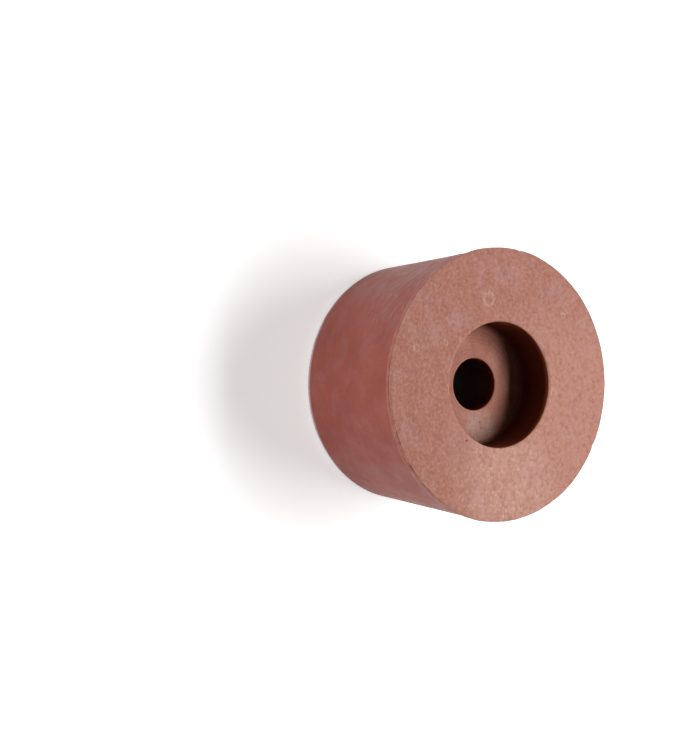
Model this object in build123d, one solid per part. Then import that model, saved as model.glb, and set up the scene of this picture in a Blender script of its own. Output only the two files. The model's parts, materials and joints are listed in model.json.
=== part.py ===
"""Conical rubber stopper with a stepped hole, in one moulded piece.

Units are millimetres. The stopper stands on its small end: +Z runs along the
axis, from the small end up to the big end, and the origin is the centre of the
small end's face. A wide recess in the big end takes a collar or a flange, and
a narrower hole runs on from its floor and out through the small end.
"""

import math
import os

from build123d import *

# Taper and height
big_end_diameter = 49.6      # where the cone would meet the big end's face
small_end_diameter = 44.0    # where the cone would meet the small end's face
height = 30.0

# Parting lip: the thin land that the mould's two halves leave round the big end
lip_overhang = 0.2           # how far it stands out of the cone
lip_height = 0.6             # straight land, down from the big end's face
lip_blend = 0.5              # height over which it runs back into the cone

# Stepped hole
recess_diameter = 22.8
recess_depth = 7.6
hole_diameter = 9.5

# Rounded edges
small_end_round = 0.8        # outer edge of the small end
lip_round = 0.12             # outer edge of the parting lip
recess_rim_round = 0.45      # mouth of the recess, on the big end
recess_corner_round = 0.6    # inner corner between the recess's wall and floor
hole_rim_round = 0.35        # mouth of the hole, on the recess's floor
hole_foot_round = 0.3        # mouth of the hole, on the small end

big_end_radius = big_end_diameter / 2
small_end_radius = small_end_diameter / 2
recess_radius = recess_diameter / 2
hole_radius = hole_diameter / 2
recess_floor = height - recess_depth


def cone_radius(z):
    """Radius of the plain tapered side at a height above the small end."""
    return small_end_radius + (big_end_radius - small_end_radius) * z / height


def section():
    """Half of the stopper's section, in the XZ plane, with its corners rounded."""
    lip_radius = cone_radius(height) + lip_overhang
    lip_foot = height - lip_height
    blend_foot = lip_foot - lip_blend
    corners = [
        (hole_radius, 0, hole_foot_round),
        (small_end_radius, 0, small_end_round),
        (cone_radius(blend_foot), blend_foot, 0),
        (lip_radius, lip_foot, 0),
        (lip_radius, height, lip_round),
        (recess_radius, height, recess_rim_round),
        (recess_radius, recess_floor, recess_corner_round),
        (hole_radius, recess_floor, hole_rim_round),
    ]
    with BuildSketch(Plane.XZ) as sketch:
        with BuildLine():
            Polyline([(x, z) for x, z, _ in corners], close=True)
        make_face()
        for x, z, radius in corners:
            if radius > 0:
                nearest = sketch.vertices().sort_by_distance((x, z, 0))[0]
                fillet(nearest, radius)
    return sketch.sketch


def stopper():
    """The whole stopper: its section turned once round the axis."""
    return revolve(section(), axis=Axis.Z)


def main():
    os.makedirs("parts", exist_ok=True)
    piece = stopper()
    export_step(piece, "parts/stopper.step")
    taper = (big_end_diameter - small_end_diameter) / height
    angle = math.degrees(math.atan(taper / 2))
    print(f"stopper: {piece.volume / 1000:.2f} cm3, taper {taper:.3f}, {angle:.2f} degrees a side")


main()
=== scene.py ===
# %% [markdown]
# # A conical rubber stopper with a stepped hole
#
# The real thing is one lump of red rubber, pressed hot in a two-part mould. This lesson
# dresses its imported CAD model: it measures the section, turns a finer mesh from it, adds
# the small marks that moulding and handling leave, and gives each surface its own finish.
# The stopper stands on its small end, with +Z along its axis and the recess at the top.

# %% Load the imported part
import json
import math

import bpy
import numpy as np
from mathutils import Matrix, Vector, noise


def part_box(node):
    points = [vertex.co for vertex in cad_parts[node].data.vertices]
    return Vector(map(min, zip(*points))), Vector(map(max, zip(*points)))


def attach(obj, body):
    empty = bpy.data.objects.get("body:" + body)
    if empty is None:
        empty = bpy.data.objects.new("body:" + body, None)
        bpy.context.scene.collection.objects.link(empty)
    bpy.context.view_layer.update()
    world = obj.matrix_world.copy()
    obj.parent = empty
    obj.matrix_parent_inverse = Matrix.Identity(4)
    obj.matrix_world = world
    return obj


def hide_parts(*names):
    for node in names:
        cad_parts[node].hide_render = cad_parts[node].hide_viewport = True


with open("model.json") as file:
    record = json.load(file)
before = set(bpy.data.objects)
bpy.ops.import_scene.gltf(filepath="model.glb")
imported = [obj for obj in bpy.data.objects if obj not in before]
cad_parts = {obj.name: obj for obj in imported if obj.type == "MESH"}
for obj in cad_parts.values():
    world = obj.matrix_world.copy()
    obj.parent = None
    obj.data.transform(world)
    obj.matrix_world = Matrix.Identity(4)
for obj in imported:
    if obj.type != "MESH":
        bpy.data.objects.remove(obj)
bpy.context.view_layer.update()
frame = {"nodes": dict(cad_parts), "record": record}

MM = 0.001

# %% [markdown]
# ## The camera
#
# A long lens from half a metre keeps the two ends nearly the same shape. The camera looks
# down into the recess from one side, and it is rolled a quarter turn, so the stopper seems
# to lie on its side with the big end to the right. Rolling the camera is simpler than
# laying the model down, because the model has to keep its frame.

# %% Set up the camera
low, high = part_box("stopper")
height = high.z - low.z
lip_radius = high.x

SENSOR = 36 * MM
LENS_IN_MM = 131.7
CAMERA_DISTANCE = 502.2 * MM              # from the big end's centre
CAMERA_OFF_AXIS = math.radians(38.5)
CAMERA_ROLL = math.radians(91.2)
AIM = Vector((-0.6 * MM, -14.4 * MM, 0))  # where the sight line meets the bench

big_end_centre = Vector((0, 0, high.z))
camera_place = big_end_centre + CAMERA_DISTANCE * Vector(
    (0, -math.sin(CAMERA_OFF_AXIS), math.cos(CAMERA_OFF_AXIS)))
level = (AIM - camera_place).to_track_quat("-Z", "Y").to_matrix().to_4x4()
camera_data = bpy.data.cameras.new("camera")
camera_data.sensor_width = SENSOR / MM
camera_data.lens = LENS_IN_MM
camera = bpy.data.objects.new("camera", camera_data)
camera.matrix_world = (Matrix.Translation(camera_place) @ level
                       @ Matrix.Rotation(CAMERA_ROLL, 4, "Z"))
bpy.context.scene.collection.objects.link(camera)
bpy.context.scene.camera = camera
bpy.context.scene.view_settings.view_transform = "Standard"    # colours come out as written
print("camera at", [round(value / MM) for value in camera_place], "mm")

# %% [markdown]
# ## Measuring the section
#
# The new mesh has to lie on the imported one, so its radii and heights are read from the
# frame. The two bores are mounts with stated radii. The recess floor is flat and faces up,
# so its height is that of the upward faces between the hole and the recess wall. The
# tapered side is straight, and a line fitted through its vertices gives its radius.

# %% Measure the radii and heights
mounts = {mount["name"]: mount for mount in frame["record"]["mounts"]}
hole_radius = mounts["stem_hole"]["dims"]["r_mm"] * MM
recess_radius = mounts["recess"]["dims"]["r_mm"] * MM

LEVEL_ENOUGH = 0.999        # upward part of the normal, for a face that counts as level
cad_mesh = frame["nodes"]["stopper"].data
floor_heights = [face.center.z for face in cad_mesh.polygons
                 if face.normal.z > LEVEL_ENOUGH
                 and hole_radius < face.center.xy.length < recess_radius]
recess_floor = float(np.median(floor_heights))

SMALL_END_ZONE = 0.9 * MM    # the round at the foot of the side
LIP_ZONE = 1.3 * MM          # the parting lip, and the blend under it
points = np.array([vertex.co for vertex in cad_mesh.vertices])
radii, heights = np.hypot(points[:, 0], points[:, 1]), points[:, 2]
outside = radii > recess_radius + LIP_ZONE
on_side = outside & (heights > SMALL_END_ZONE) & (heights < high.z - LIP_ZONE)
side_slope, small_end_radius = np.polyfit(heights[on_side], radii[on_side], 1)
print(f"hole {hole_radius / MM:.2f}, recess {recess_radius / MM:.2f} with its floor at "
      f"{recess_floor / MM:.2f}, small end {small_end_radius / MM:.2f}, slope {side_slope:.4f}")

# %% [markdown]
# ## The section as corners with rounds
#
# A moulded stopper has no sharp edge, because rubber can't fill a sharp corner of the
# mould. Blender could bevel a coarse lathe, but a bevel on 400 segments is hard to steer.
# So the section is a list of corners, each with its own round, and every stretch that
# leaves a corner says which finish it has and how far apart its rows of vertices are.

# %% List the section's corners
LIP_HEIGHT = 0.6 * MM
LIP_BLEND = 0.5 * MM
EDGE_STRIP = 0.6 * MM    # outermost strip of the big end, which holds the parting groove
blend_foot = high.z - LIP_HEIGHT - LIP_BLEND

SIDE, FACE, WALL, FLOOR, SMALL_END = range(5)

# radius, height, round, finish of the stretch that follows, and its row spacing
corners = [
    (hole_radius, low.z, 0.3 * MM, SMALL_END, 1.0 * MM),
    (small_end_radius, low.z, 0.8 * MM, SIDE, 0.55 * MM),
    (small_end_radius + side_slope * blend_foot, blend_foot, 0, SIDE, 0.2 * MM),
    (lip_radius, high.z - LIP_HEIGHT, 0, SIDE, 0.2 * MM),
    (lip_radius, high.z, 0.12 * MM, FACE, 0.06 * MM),
    (lip_radius - EDGE_STRIP, high.z, 0, FACE, 0.24 * MM),
    (recess_radius, high.z, 0.45 * MM, WALL, 0.6 * MM),
    (recess_radius, recess_floor, 0.6 * MM, FLOOR, 0.12 * MM),
    (hole_radius, recess_floor, 0.35 * MM, WALL, 1.2 * MM),
]
print(len(corners), "corners in the section")

# %% [markdown]
# A round between two stretches is an arc that touches both. Its rows are placed by angle,
# and the straight stretch between two rounds is divided evenly. The two stretches that
# meet at a round share it, so that each finish ends halfway round the corner.

# %% Walk along the section
ROWS_PER_ROUND = 5


def rounded(before, corner, after, radius):
    """The points of an arc of that radius, which touches both legs of a corner."""
    if radius == 0:
        return [corner]
    to_before, to_after = (before - corner).normalized(), (after - corner).normalized()
    half_angle = to_before.angle(to_after) / 2
    centre = corner + (to_before + to_after).normalized() * radius / math.sin(half_angle)
    touch = radius / math.tan(half_angle)
    start, end = corner + to_before * touch - centre, corner + to_after * touch - centre
    turns = [start.slerp(end, step / ROWS_PER_ROUND) for step in range(ROWS_PER_ROUND + 1)]
    return [centre + turn.normalized() * radius for turn in turns]


def section_rows():
    """Every row of the lathe as (place, finish of the faces that follow it)."""
    places = [Vector((radius, height_up)) for radius, height_up, *_ in corners]
    arcs = [rounded(places[index - 1], place, places[(index + 1) % len(places)], corners[index][2])
            for index, place in enumerate(places)]
    rows = []
    for index, arc in enumerate(arcs):
        finish, spacing = corners[index][3:]
        following = arcs[(index + 1) % len(arcs)][0]
        steps = max(1, round((following - arc[-1]).length / spacing))
        straight = [arc[-1].lerp(following, step / steps) for step in range(1, steps)]
        half = len(arc) // 2
        rows += [(place, corners[index - 1][3]) for place in arc[:half]]
        rows += [(place, finish) for place in arc[half:] + straight]
    return rows


rows = section_rows()
SEGMENTS = 400
print(len(rows), "rows and", 2 * len(rows) * SEGMENTS, "triangles")

# %% [markdown]
# ## Turning the mesh
#
# The lathe joins each row to the next, and the last row to the first, so the mesh is
# closed. Every vertex also keeps where it stands on the section and its angle round the
# axis, because the marks that follow are placed by those.

# %% Turn the section round the axis
angles = np.arange(SEGMENTS) * 2 * math.pi / SEGMENTS
row_radius = np.array([place.x for place, _ in rows])
row_height = np.array([place.y for place, _ in rows])
row_finish = np.array([finish for _, finish in rows])

# The section's outward normal, from the rows on each side of a row
along_radius = np.roll(row_radius, -1) - np.roll(row_radius, 1)
along_height = np.roll(row_height, -1) - np.roll(row_height, 1)
along_length = np.hypot(along_radius, along_height)
out_radius, out_height = along_height / along_length, -along_radius / along_length

around, _ = np.meshgrid(angles, row_radius)
base_radius = np.repeat(row_radius[:, None], SEGMENTS, 1)
base_height = np.repeat(row_height[:, None], SEGMENTS, 1)
across_x, across_y = base_radius * np.cos(around), base_radius * np.sin(around)
finish_at = np.repeat(row_finish[:, None], SEGMENTS, 1)
print("grid of", base_radius.shape)

# %% [markdown]
# ## Marks that the mould and handling left
#
# Nothing pressed in a steel mould is quite true. The side and the big end wander by a few
# hundredths of a millimetre, the parting lip is torn unevenly where the flash was trimmed,
# the recess floor shows the rings of the turned core, and a few bubbles broke at the
# surface. All of it goes inwards, so that the piece never leaves the space of its CAD part.

# %% A slow waviness
NOISE_GAIN = 0.7    # spreads the noise over most of 0 to 1


def wander(size, seed):
    """Smooth noise from 0 to 1, whose swells are about `size` across, at every vertex."""
    def at(x, y, z):
        return noise.noise(Vector((x / size + seed, y / size - seed, z / size)))
    values = np.vectorize(at)(across_x, across_y, base_height)
    return np.clip(0.5 + NOISE_GAIN * values, 0, 1)


WAVE_DEPTH = 0.09 * MM
FINE_WAVE_DEPTH = 0.025 * MM
CORE_SHARE = 0.5    # the steel cores were truer than the mould
depth = WAVE_DEPTH * wander(9 * MM, 3.1) + FINE_WAVE_DEPTH * wander(2.2 * MM, 8.7)
depth[finish_at == WALL] *= CORE_SHARE
print(f"waviness from {depth.min() / MM:.3f} to {depth.max() / MM:.3f} mm deep")

# %% [markdown]
# The lip is thin, so where the two mould halves met it the rubber tore in short scallops.
# Those follow the angle only, and fade out over the blend below the lip and across the
# edge strip. A tear that stopped short there would push one row past the next.

# %% The trimmed parting lip
LIP_RAGGED = 0.08 * MM
SCALLOP, LONG_SCALLOP = 1.7 * MM, 5.95 * MM
SCALLOP_SHARE, LONG_SHARE = 0.6, 0.4
ANOTHER_SLICE = 9 * MM    # so that the long scallops aren't the short ones made bigger

# at degrees round the axis, width, depth
LIP_NICKS = [(-48, 0.5 * MM, 0.22 * MM), (171, 0.7 * MM, 0.15 * MM), (64, 0.9 * MM, 0.16 * MM)]


def along_lip(size, slice_height=0):
    """Smooth noise round the lip, whose swells are about `size` long, at every angle."""
    places = [(lip_radius * math.cos(angle), lip_radius * math.sin(angle), slice_height)
              for angle in angles]
    return np.array([noise.noise(Vector(place) / size) for place in places])


scallops = (SCALLOP_SHARE * along_lip(SCALLOP)
            + LONG_SHARE * along_lip(LONG_SCALLOP, ANOTHER_SLICE))
torn = LIP_RAGGED * np.clip(0.5 + scallops, 0, 1)
for degrees, width, deep in LIP_NICKS:
    away = np.angle(np.exp(1j * (angles - math.radians(degrees)))) * lip_radius
    torn += deep * np.exp(-(away / (width / 2)) ** 2)
up_the_blend = np.clip((base_height - blend_foot) / LIP_BLEND, 0, 1)
across_the_strip = np.clip((base_radius - lip_radius + EDGE_STRIP) / EDGE_STRIP, 0, 1)
lip_share = up_the_blend * across_the_strip
print("lip is torn up to", round(torn.max() / MM, 2), "mm")

# %% [markdown]
# Just inside the lip the plate of the mould left a hair-fine groove. It is deepest along
# one stretch of the edge and comes and goes there, and elsewhere it all but vanishes. It
# is too narrow for a separate cutter, so it is a bell-shaped dip across a few fine rows.

# %% The parting groove
GROOVE_IN = 0.3 * MM        # from the lip's outer edge
GROOVE_WIDTH = 0.16 * MM
GROOVE_DEPTH = 0.14 * MM
DEEPEST_AT, DEEP_SPAN = math.radians(-55), math.radians(26)
COMES_AND_GOES = 2.78 * MM
USUALLY, AT_LEAST = 0.85, 0.3    # how much of it is left where it comes and goes
FAINT, DEEP = 0.05, 0.75         # its depth all round, and what the deepest stretch adds
FLAT_WITHIN = 0.02 * MM     # rows this near a flat face's height belong to it

from_deepest = np.angle(np.exp(1j * (angles - DEEPEST_AT)))
comes_and_goes = np.clip(USUALLY + along_lip(COMES_AND_GOES), AT_LEAST, 1)
groove_share = comes_and_goes * (FAINT + DEEP * np.exp(-(from_deepest / DEEP_SPAN) ** 2))
across_groove = np.exp(-((lip_radius - GROOVE_IN - base_radius) / (GROOVE_WIDTH / 2)) ** 2)
on_top = base_height > high.z - FLAT_WITHIN
groove = GROOVE_DEPTH * across_groove * groove_share[None, :] * on_top
depth += groove
print("groove up to", round(groove.max() / MM, 2), "mm deep")

# %% [markdown]
# The core that makes the recess was turned on a lathe, and its tool marks print into the
# rubber as shallow rings, a little over half a millimetre apart. They are as regular as
# a turned surface is, apart from a small drift to one side where the core ran untrue.

# %% Rings on the recess floor
RING_SPACING = 0.62 * MM
RING_DEPTH = 0.02 * MM
RING_RUNOUT = 0.6       # radians by which the rings drift to one side
on_floor = (np.abs(base_height - recess_floor) < FLAT_WITHIN) & (base_radius < recess_radius)
runout = RING_RUNOUT * np.sin(around + 1)
rings = 0.5 + 0.5 * np.cos(2 * math.pi * base_radius / RING_SPACING + runout)
depth += np.where(on_floor, RING_DEPTH * rings, 0)
print("rings on the floor:", round((recess_radius - hole_radius) / RING_SPACING))

# %% [markdown]
# Bubbles that broke at the big end left craters with a soft rim, and one left an open pit
# by the recess. Each is a place on the face with a width and a depth.

# %% Craters and pits
# x and y on the face, width across, depth: all in mm
CRATERS = [
    (-6.2, -19.0, 1.2, 0.10), (-7.2, -12.6, 0.9, 0.07), (1.1, 12.6, 1.1, 0.08),
    (-15.5, -3.0, 2.2, 0.05), (17.5, 6.0, 0.9, 0.05), (-13.0, 14.5, 0.8, 0.05),
]
PITS = [
    (10.2, -7.4, 0.36, 0.3), (5.4, -21.0, 0.4, 0.08), (-2.0, -16.4, 0.4, 0.06),
    (14.0, -13.5, 0.4, 0.07),
]
FLOOR_PITS = [(7.0, 1.5, 0.4, 0.12), (6.0, 4.0, 0.4, 0.07), (8.4, 0.6, 0.3, 0.06)]
EDGE_SHARE = 0.3    # width of a crater's pale edge, as a share of its radius


def radii_away(x, y, width):
    """How far each vertex is from a mark's centre, in radii of the mark."""
    return np.hypot(across_x - x * MM, across_y - y * MM) / (width * MM / 2)


def hollow(x, y, width, deep, zone):
    """The depth of a round hollow at every vertex of a zone."""
    return np.where(zone, deep * MM * np.exp(-radii_away(x, y, width) ** 2), 0)


on_face = (finish_at == FACE) & on_top
pitted = np.zeros_like(depth)
for x, y, width, deep in PITS:
    pitted += hollow(x, y, width, deep, on_face)
for x, y, width, deep in FLOOR_PITS:
    pitted += hollow(x, y, width, deep, on_floor)
pale_edge = np.zeros_like(depth)
for x, y, width, deep in CRATERS:
    depth += hollow(x, y, width, deep, on_face)
    edge = np.exp(-((radii_away(x, y, width) - 1) / EDGE_SHARE) ** 2)
    pale_edge += np.where(on_face, edge, 0)
depth = np.clip(depth + pitted, 0, None)
print("deepest mark", round(depth.max() / MM, 2), "mm")

# %% [markdown]
# Now every vertex moves in by its depth, along the section's normal, and the lip by its
# own tear along the radius.

# %% Build the piece
final_radius = base_radius - depth * out_radius[:, None] - torn[None, :] * lip_share
final_height = base_height - depth * out_height[:, None]
vertices = np.stack([final_radius * np.cos(around), final_radius * np.sin(around), final_height], -1)

row_index, turn_index = np.meshgrid(range(len(rows)), range(SEGMENTS), indexing="ij")
next_row, next_turn = (row_index + 1) % len(rows), (turn_index + 1) % SEGMENTS
quads = np.stack([row_index * SEGMENTS + turn_index, row_index * SEGMENTS + next_turn,
                  next_row * SEGMENTS + next_turn, next_row * SEGMENTS + turn_index], -1)

mesh = bpy.data.meshes.new("rubber_stopper")
mesh.from_pydata(vertices.reshape(-1, 3).tolist(), [], quads.reshape(-1, 4).tolist())
mesh.polygons.foreach_set("use_smooth", np.ones(len(mesh.polygons), bool))
mesh.polygons.foreach_set("material_index", finish_at.reshape(-1).astype(np.int32))
PIT_BLACK = 0.22 * MM       # a pit this deep is painted fully dark, as painted shade
GROOVE_BLACK = 0.1 * MM     # the groove is narrower, so its painted shade goes dark sooner
# painted shade in the pits and the groove, kept on the mesh for the materials
darkness = pitted / PIT_BLACK + groove / GROOVE_BLACK
for mark, amount in (("pit", darkness), ("pale_edge", pale_edge)):
    attribute = mesh.attributes.new(mark, "FLOAT", "POINT")
    attribute.data.foreach_set("value", np.clip(amount, 0, 1).reshape(-1).astype(np.float32))
mesh.validate()
piece = bpy.data.objects.new("stopper_body", mesh)
bpy.context.scene.collection.objects.link(piece)
print(len(mesh.vertices), "vertices,", len(mesh.polygons), "faces")

# %% [markdown]
# ## Tools for the finishes
#
# All five finishes are one material, red natural rubber, seen after different treatment.
# Its colour comes from iron oxide mixed through the rubber, and wax and sulphur that rise
# to the skin leave a pale bloom over it. An image texture could carry that, but noise in
# the rubber's own coordinates has no seam and keeps its scale in millimetres. The colours
# are written as they look, and one function turns them to linear light.

# %% Colour and node helpers
def linear(hex_colour):
    """The linear colour of an sRGB hex value."""
    channels = [int(hex_colour[start:start + 2], 16) / 255 for start in (1, 3, 5)]
    return (*[c / 12.92 if c <= 0.04045 else ((c + 0.055) / 1.055) ** 2.4 for c in channels], 1.0)


def add_node(tree, kind, settings):
    """Adds a node. A setting is a property, a socket's value, or an output linked to a socket."""
    node = tree.nodes.new(kind)
    for name, value in settings.items():
        if isinstance(value, bpy.types.NodeSocket):
            tree.links.new(value, node.inputs[name])
        elif isinstance(name, int) or name in node.inputs:
            node.inputs[name].default_value = value
        else:
            setattr(node, name, value)
    return node


print("brick red is", [round(channel, 3) for channel in linear("#984A3D")], "in linear light")

# %% [markdown]
# Three helpers make the patterns: soft patches of a real size, a spot at a named place,
# and a band between two heights. Each gives a mask, which says how much of a colour shows
# at each place of the surface.

# %% Patterns in millimetres
def patches(tree, place, size, least=0.4, most=0.6, share=1.0, detail=3.0):
    """A mask of cloudy patches about `size` across, from 0 up to `share`."""
    cloud = add_node(tree, "ShaderNodeTexNoise", {"Vector": place, "Scale": 1 / size, "Detail": detail})
    return add_node(tree, "ShaderNodeMapRange", {
        "Value": cloud.outputs["Fac"], "From Min": least, "From Max": most,
        "To Max": share}).outputs["Result"]


SPOT_CORE = 0.35    # inner share of a spot's radius, where it doesn't fade yet


def spot(tree, place, centre, radius, share=1.0):
    """A mask that is `share` at a centre and fades to 0 at a radius."""
    away = add_node(tree, "ShaderNodeVectorMath", {"operation": "DISTANCE", 0: place, 1: centre})
    return add_node(tree, "ShaderNodeMapRange", {
        "interpolation_type": "SMOOTHSTEP", "Value": away.outputs["Value"],
        "From Min": radius * SPOT_CORE, "From Max": radius,
        "To Min": share, "To Max": 0.0}).outputs["Result"]


def between(tree, place, start, end, share=1.0):
    """A mask that goes from 0 at one height to `share` at another."""
    up = add_node(tree, "ShaderNodeSeparateXYZ", {"Vector": place}).outputs["Z"]
    return add_node(tree, "ShaderNodeMapRange", {
        "Value": up, "From Min": start, "From Max": end, "To Max": share}).outputs["Result"]


print("patterns: patches, spot, between")

# %% [markdown]
# Rubber gets its look in coats, like paint: a base colour, then each treatment over it.
# So a finish is written as a list of coats, from the first to the last. Each coat is a
# colour and one or more masks, and where there are several, it shows where they all do.
#
# Vulcanised rubber has an IOR near 1.52 and reflects little. Its grain is far too fine to
# be modelled in the mesh, so that one part of the relief is a bump. Handling polishes some
# patches and dulls others, so that the roughness is uneven too.

# %% Start a rubber finish, and end it with its coats
RUBBER_IOR = 1.52
ROUGHNESS_SWING = 0.08     # how far handling moves the roughness, up and down
HANDLED_PATCH = 3 * MM
PIT_AND_GROOVE_SHADE = "#431C14"           # painted shade in the pits and in the groove
MIX_FACTOR, MIX_UNDER, MIX_OVER, MIX_RESULT = 0, 6, 7, 2    # the sockets for colour of a Mix node


def start_rubber(name, roughness, specular):
    """A new material with a rubber shader, and the rubber's own coordinates."""
    material = bpy.data.materials.new(name)
    material.use_nodes = True
    tree = material.node_tree
    tree.nodes.clear()
    shader = add_node(tree, "ShaderNodeBsdfPrincipled", {
        "Roughness": roughness, "IOR": RUBBER_IOR, "Specular IOR Level": specular})
    add_node(tree, "ShaderNodeOutputMaterial", {"Surface": shader.outputs["BSDF"]})
    place = add_node(tree, "ShaderNodeTexCoord", {}).outputs["Object"]
    return material, tree, shader, place


def end_rubber(tree, shader, place, base, coats, grain, relief):
    """Lays the coats over the base, with painted shade in the pits and the groove, and adds grain and
    roughness.
    """
    pit = add_node(tree, "ShaderNodeAttribute", {"attribute_name": "pit"}).outputs["Fac"]
    colour = linear(base)
    # the last coat is the painted shade of the pits and the groove
    for coat, share, *more_masks in coats + [(PIT_AND_GROOVE_SHADE, pit)]:
        for mask in more_masks:
            share = add_node(tree, "ShaderNodeMath", {
                "operation": "MULTIPLY", 0: share, 1: mask}).outputs["Value"]
        colour = add_node(tree, "ShaderNodeMix", {
            "data_type": "RGBA", MIX_UNDER: colour, MIX_OVER: linear(coat),
            MIX_FACTOR: share}).outputs[MIX_RESULT]
    tree.links.new(colour, shader.inputs["Base Color"])

    grain_map = add_node(tree, "ShaderNodeTexNoise", {
        "Vector": place, "Scale": 1 / grain, "Detail": 4.0})
    bump = add_node(tree, "ShaderNodeBump", {"Height": grain_map.outputs["Fac"], "Distance": relief})
    tree.links.new(bump.outputs["Normal"], shader.inputs["Normal"])

    middle = shader.inputs["Roughness"].default_value
    handled = add_node(tree, "ShaderNodeTexNoise", {
        "Vector": place, "Scale": 1 / HANDLED_PATCH, "Detail": 3.0})
    roughness = add_node(tree, "ShaderNodeMapRange", {
        "Value": handled.outputs["Fac"], "From Min": 0.3, "From Max": 0.7,
        "To Min": middle - ROUGHNESS_SWING, "To Max": middle + ROUGHNESS_SWING})
    tree.links.new(roughness.outputs["Result"], shader.inputs["Roughness"])


print("rubber: IOR", RUBBER_IOR, "and roughness to within", ROUGHNESS_SWING)

# %% [markdown]
# ## The moulded side
#
# The side was pressed against polished steel, so it is the reddest and smoothest part.
# Wax bloom greys it in patches. Sliding in and out of necks left faint pale scuffs near
# the big end, drawn out round the cone, and rubbed the edge under the lip pale. The pale
# line along the small end's rounded edge is a painted highlight, where that edge catches
# the light. The scuffs could be single strokes with places of their own, but they are many
# and faint, so they are patches squeezed along the axis, kept to the area that was rubbed.

# %% Material: moulded red rubber
SCUFF_SQUEEZE = 4.0    # how many times longer than wide a scuff is
SCUFF_TILT = 0.25      # radians that the scuffs lean from level
SCUFFED_AREA = (-17 * MM, -15 * MM, 25 * MM)
GREYED_AREA = (-21 * MM, -9 * MM, 14 * MM)


def moulded_side():
    material, tree, shader, place = start_rubber("red_rubber_moulded", roughness=0.55, specular=0.25)
    squeezed = add_node(tree, "ShaderNodeMapping", {
        "Vector": place, "Rotation": (0.0, SCUFF_TILT, 0.0),
        "Scale": (1.0, 1.0, SCUFF_SQUEEZE)}).outputs["Vector"]
    coats = [
        # uneven pigment
        ("#A35648", patches(tree, place, 6 * MM, 0.35, 0.65)),
        # wax bloom
        ("#A97476", patches(tree, place, 3.4 * MM, 0.46, 0.7, share=0.3)),
        ("#A08078", patches(tree, place, 2.5 * MM, 0.35, 0.65),
         spot(tree, place, GREYED_AREA, 15 * MM, share=0.4)),
        # scuffs
        ("#AC8B8C", patches(tree, squeezed, 3.5 * MM, 0.5, 0.68, share=0.4),
         spot(tree, place, SCUFFED_AREA, 15 * MM)),
        # fine dark mottling
        ("#85443A", patches(tree, place, 0.7 * MM, 0.35, 0.75, share=0.35)),
        # rubbed under the lip, and a painted highlight along the small end's rounded edge
        ("#BC8074", patches(tree, place, 2 * MM, 0.3, 0.6),
         between(tree, place, high.z - 1.7 * MM, high.z - 0.9 * MM, share=0.5)),
        ("#D9C2C4", patches(tree, place, 4 * MM, 0.2, 0.45),
         between(tree, place, low.z + 1.35 * MM, low.z + 0.9 * MM, share=0.85)),
    ]
    end_rubber(tree, shader, place, "#984A3D", coats, grain=0.5 * MM, relief=0.02 * MM)
    return material


# %% [markdown]
# ## The big end
#
# The big end was pressed against a plate with a matt, sand-blasted face. Its grain holds
# chalk and bloom, so it is paler, drier and finely speckled. The speckle is finer than a
# real grain of sand could be seen, so it is drawn at about half a millimetre. The craters'
# pale edges come from the mesh, which knows where they are.

# %% Material: matt-pressed red rubber
# centre of a painted sheen, on the half of the big end that faces the key light
PAINTED_SHEEN_CENTRE = (10 * MM, 16 * MM, high.z)
CHALKY_AREA = (18 * MM, 2 * MM, high.z)


def matt_face():
    material, tree, shader, place = start_rubber("red_rubber_matt", roughness=0.8, specular=0.25)
    chalky = spot(tree, place, CHALKY_AREA, 15 * MM)
    crater_edges = add_node(tree, "ShaderNodeAttribute", {"attribute_name": "pale_edge"}).outputs["Fac"]
    coats = [
        # uneven pigment, and painted sheen: the half that faces the key light is painted paler
        ("#B47A6A", patches(tree, place, 3 * MM, 0.35, 0.65)),
        ("#CC9484", spot(tree, place, PAINTED_SHEEN_CENTRE, 34 * MM, share=0.55)),
        # wax bloom
        ("#C2908E", patches(tree, place, 4 * MM, 0.5, 0.7, share=0.45)),
        # chalk: a faint veil, and specks in it
        ("#DCAC9C", patches(tree, place, 5 * MM, 0.2, 0.5, share=0.4), chalky),
        ("#E9CAB4", patches(tree, place, 0.6 * MM, 0.52, 0.7, share=0.9, detail=5.0),
         patches(tree, place, 3 * MM, 0.35, 0.6), chalky),
        # pale and dark speckle of the grain
        ("#CFA08E", patches(tree, place, 0.6 * MM, 0.42, 0.68, share=0.4)),
        ("#8E5A4C", patches(tree, place, 0.8 * MM, 0.46, 0.74, share=0.45)),
        # the craters' edges
        ("#DDB4A6", patches(tree, place, 0.5 * MM, 0.35, 0.6, share=0.6), crater_edges),
    ]
    end_rubber(tree, shader, place, "#AA6C5C", coats, grain=0.4 * MM, relief=0.04 * MM)
    return material


# %% [markdown]
# ## The walls of the recess and the hole
#
# Smooth steel cores formed these walls, and the rubber there is dark. The wall is painted
# browner and lighter towards the recess's rim and at the hole's mouth, as a painted glow of
# the light that gets in, and darker deep in the hole, as painted shade. A gradient down the
# wall does that with a few heights, and an image texture isn't needed.

# %% Material: cored red rubber, of the walls
def cored_wall():
    material, tree, shader, place = start_rubber("red_rubber_cored", roughness=0.6, specular=0.08)
    coats = [
        # uneven pigment
        ("#5F2D20", patches(tree, place, 4 * MM)),
        # painted glow: browner and lighter towards the recess's rim
        ("#8A4628", between(tree, place, recess_floor + 2 * MM, high.z)),
        ("#9E5532", between(tree, place, high.z - 1.4 * MM, high.z - 0.3 * MM)),
        # painted glow: brown at the hole's mouth, just below the floor
        ("#A0552F", between(tree, place, recess_floor - 1.5 * MM, recess_floor - 0.2 * MM),
         between(tree, place, recess_floor + 0.1 * MM, recess_floor)),
        # painted shade: dark deep in the hole
        ("#360F09", between(tree, place, recess_floor - 1 * MM, recess_floor - 5 * MM)),
    ]
    end_rubber(tree, shader, place, "#54261A", coats, grain=0.5 * MM, relief=0.02 * MM)
    return material
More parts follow.
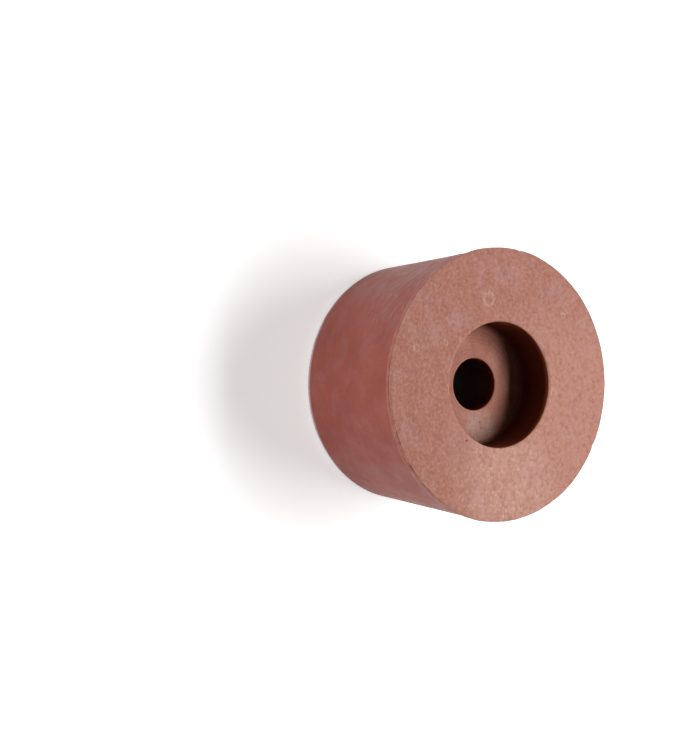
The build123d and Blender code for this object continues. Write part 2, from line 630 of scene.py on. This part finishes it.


# %% [markdown]
# ## The recess floor
#
# The core's end left turning marks here, and release powder is left as a grey patch beside
# the hole's mouth. A dark ring in the corner under the wall is painted shade, where the wall
# shades the floor. The marks are both in the mesh and in the colour: dirt sits in the rings,
# and the pits are darkened as painted shade.

# %% Material: powdered red rubber, of the recess floor
RINGS_AT_SCALE_1 = 2 * math.pi / 20    # how far apart a Wave texture's rings are at scale 1
POWDER_PATCH = (8.2 * MM, 1.3 * MM, recess_floor)


def cored_floor():
    material, tree, shader, place = start_rubber("red_rubber_powdered", roughness=0.7, specular=0.08)
    ring = add_node(tree, "ShaderNodeTexWave", {
        "wave_type": "RINGS", "rings_direction": "Z", "Vector": place, "Distortion": 3.0,
        "Scale": RINGS_AT_SCALE_1 / RING_SPACING, "Detail": 2.0}).outputs["Fac"]
    from_centre = add_node(tree, "ShaderNodeVectorMath", {
        "operation": "DISTANCE", 0: place, 1: (0.0, 0.0, recess_floor)}).outputs["Value"]
    # a ring of painted shade on the floor, next to the wall
    painted_corner_shade = add_node(tree, "ShaderNodeMapRange", {
        "Value": from_centre, "From Min": recess_radius - 1.1 * MM,
        "From Max": recess_radius - 0.3 * MM, "To Max": 0.85}).outputs["Result"]
    coats = [
        # uneven pigment
        ("#B27C6C", patches(tree, place, 4 * MM)),
        # dirt in the turning marks
        ("#8C5242", patches(tree, place, 3 * MM, 0.3, 0.6, share=0.3), ring),
        # release powder
        ("#B9988C", patches(tree, place, 1.3 * MM, 0.3, 0.55),
         spot(tree, place, POWDER_PATCH, 5.4 * MM, share=0.75)),
        # painted shade in the corner under the wall
        ("#54261A", painted_corner_shade),
        # fine dark mottling
        ("#8A5344", patches(tree, place, 0.6 * MM, 0.45, 0.75, share=0.35)),
    ]
    end_rubber(tree, shader, place, "#A86F5F", coats, grain=0.5 * MM, relief=0.03 * MM)
    return material


# %% [markdown]
# ## The small end
#
# The small end takes the wear of standing on benches, so it is between the side and the
# big end in finish, and a little greyer. Its rim is worn pale, and that meets the painted
# highlight along the side's edge.

# %% Material: worn red rubber
def worn_end():
    material, tree, shader, place = start_rubber("red_rubber_worn", roughness=0.7, specular=0.3)
    coats = [
        # uneven pigment
        ("#AC7769", patches(tree, place, 5 * MM)),
        # grey bench dust
        ("#A89490", patches(tree, place, 2.5 * MM, 0.52, 0.75, share=0.5)),
        # fine dark mottling
        ("#82483C", patches(tree, place, 0.6 * MM, 0.45, 0.75, share=0.4)),
        # worn rim
        ("#BEA2A4", between(tree, place, low.z + 0.1 * MM, low.z + 0.4 * MM, share=0.75)),
    ]
    end_rubber(tree, shader, place, "#9C6255", coats, grain=0.45 * MM, relief=0.03 * MM)
    return material


# %% [markdown]
# ## Handing over the piece
#
# Every face already carries the number of its finish, so the materials only have to be
# added in that order. Then the dressed piece takes the place of the imported one, which is
# hidden, and goes where the part's root goes.

# %% Give each finish to its faces
for material in (moulded_side(), matt_face(), cored_wall(), cored_floor(), worn_end()):
    mesh.materials.append(material)
print("finishes:", [material.name for material in mesh.materials])

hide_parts("stopper")
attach(piece, "root")

# %% [markdown]
# ## The bench and the light
#
# Small parts are shown on a seamless white sheet between two softboxes. The large one is
# high on the far side and lights the big end and half of the recess floor. The other is
# low on the near side, so it lights the side but can't reach into the recess. A white
# world would light the recess too, so the world is dim for everything but the view itself
# and what glossy surfaces show of it.

# %% The seamless sheet
SHEET_RADIUS = 6.0
LIFT_NEAR, LIFT_FAR = 0.6, 1.0    # white that the view adds to the sheet, near and far
NEAR, FAR = 0.12, 0.7              # metres from the axis


def seen_directly(tree):
    """1 for the view itself, and for what glossy or clear surfaces show of it."""
    path = add_node(tree, "ShaderNodeLightPath", {}).outputs
    glossy = add_node(tree, "ShaderNodeMath", {
        "operation": "MAXIMUM", 0: path["Is Glossy Ray"], 1: path["Is Transmission Ray"]})
    return add_node(tree, "ShaderNodeMath", {
        "operation": "MAXIMUM", 0: path["Is Camera Ray"], 1: glossy.outputs["Value"]}).outputs["Value"]


def sheet_material():
    material = bpy.data.materials.new("white_sheet")
    material.use_nodes = True
    tree = material.node_tree
    tree.nodes.clear()
    place = add_node(tree, "ShaderNodeTexCoord", {}).outputs["Object"]
    away = add_node(tree, "ShaderNodeVectorMath", {"operation": "LENGTH", 0: place}).outputs["Value"]
    lift = add_node(tree, "ShaderNodeMapRange", {
        "Value": away, "From Min": NEAR, "From Max": FAR, "To Min": LIFT_NEAR, "To Max": LIFT_FAR})
    strength = add_node(tree, "ShaderNodeMath", {
        "operation": "MULTIPLY", 0: lift.outputs["Result"], 1: seen_directly(tree)})
    glow = add_node(tree, "ShaderNodeEmission", {
        "Color": linear("#FFFFFF"), "Strength": strength.outputs["Value"]})
    matt = add_node(tree, "ShaderNodeBsdfDiffuse", {"Color": linear("#E6E6E6")})
    total = add_node(tree, "ShaderNodeAddShader", {0: matt.outputs["BSDF"], 1: glow.outputs["Emission"]})
    add_node(tree, "ShaderNodeOutputMaterial", {"Surface": total.outputs["Shader"]})
    return material


bpy.ops.mesh.primitive_circle_add(vertices=96, radius=SHEET_RADIUS, fill_type="NGON",
                                  location=(0, 0, low.z))
sheet = bpy.context.object
sheet.name = "white_sheet"
sheet.data.materials.append(sheet_material())

world = bpy.data.worlds.new("studio")
world.use_nodes = True
bpy.context.scene.world = world
world.node_tree.nodes.clear()
DIM_ROOM = 0.03
strength = add_node(world.node_tree, "ShaderNodeMapRange", {
    "Value": seen_directly(world.node_tree), "To Min": DIM_ROOM, "To Max": 1.0})
sky = add_node(world.node_tree, "ShaderNodeBackground", {
    "Color": linear("#FFFFFF"), "Strength": strength.outputs["Result"]})
add_node(world.node_tree, "ShaderNodeOutputWorld", {"Surface": sky.outputs["Background"]})
print("sheet", 2 * SHEET_RADIUS, "m across, room at", DIM_ROOM)

# %% [markdown]
# A softbox is an area light. Its power is worked out from how brightly it should light
# the thing it faces, where 1 shows a colour as it is written: that level, times the
# square of pi times the distance.

# %% Two softboxes
SOFTBOX_DISTANCE = 0.5


def softbox(name, direction, width, length, level):
    """An area light that faces the stopper, `width` across and `length` along X."""
    data = bpy.data.lights.new(name, "AREA")
    data.shape = "RECTANGLE"
    data.size, data.size_y = length, width
    data.energy = level * (math.pi * SOFTBOX_DISTANCE) ** 2
    light = bpy.data.objects.new(name, data)
    aim = Vector((0, 0, (low.z + high.z) / 2))
    toward = Vector(direction).normalized()
    across = Vector((1, 0, 0))
    light.matrix_world = Matrix.Translation(aim + toward * SOFTBOX_DISTANCE) @ Matrix([
        across, toward.cross(across), toward]).transposed().to_4x4()
    light.visible_camera = False
    bpy.context.scene.collection.objects.link(light)
    print(name, "at", [round(value, 2) for value in light.location], round(data.energy, 1), "W")


softbox("key_softbox", (0, 0.537, 0.843), width=0.18, length=0.36, level=1.1)
softbox("side_softbox", (0, -1, 0.03), width=0.05, length=0.5, level=0.55)
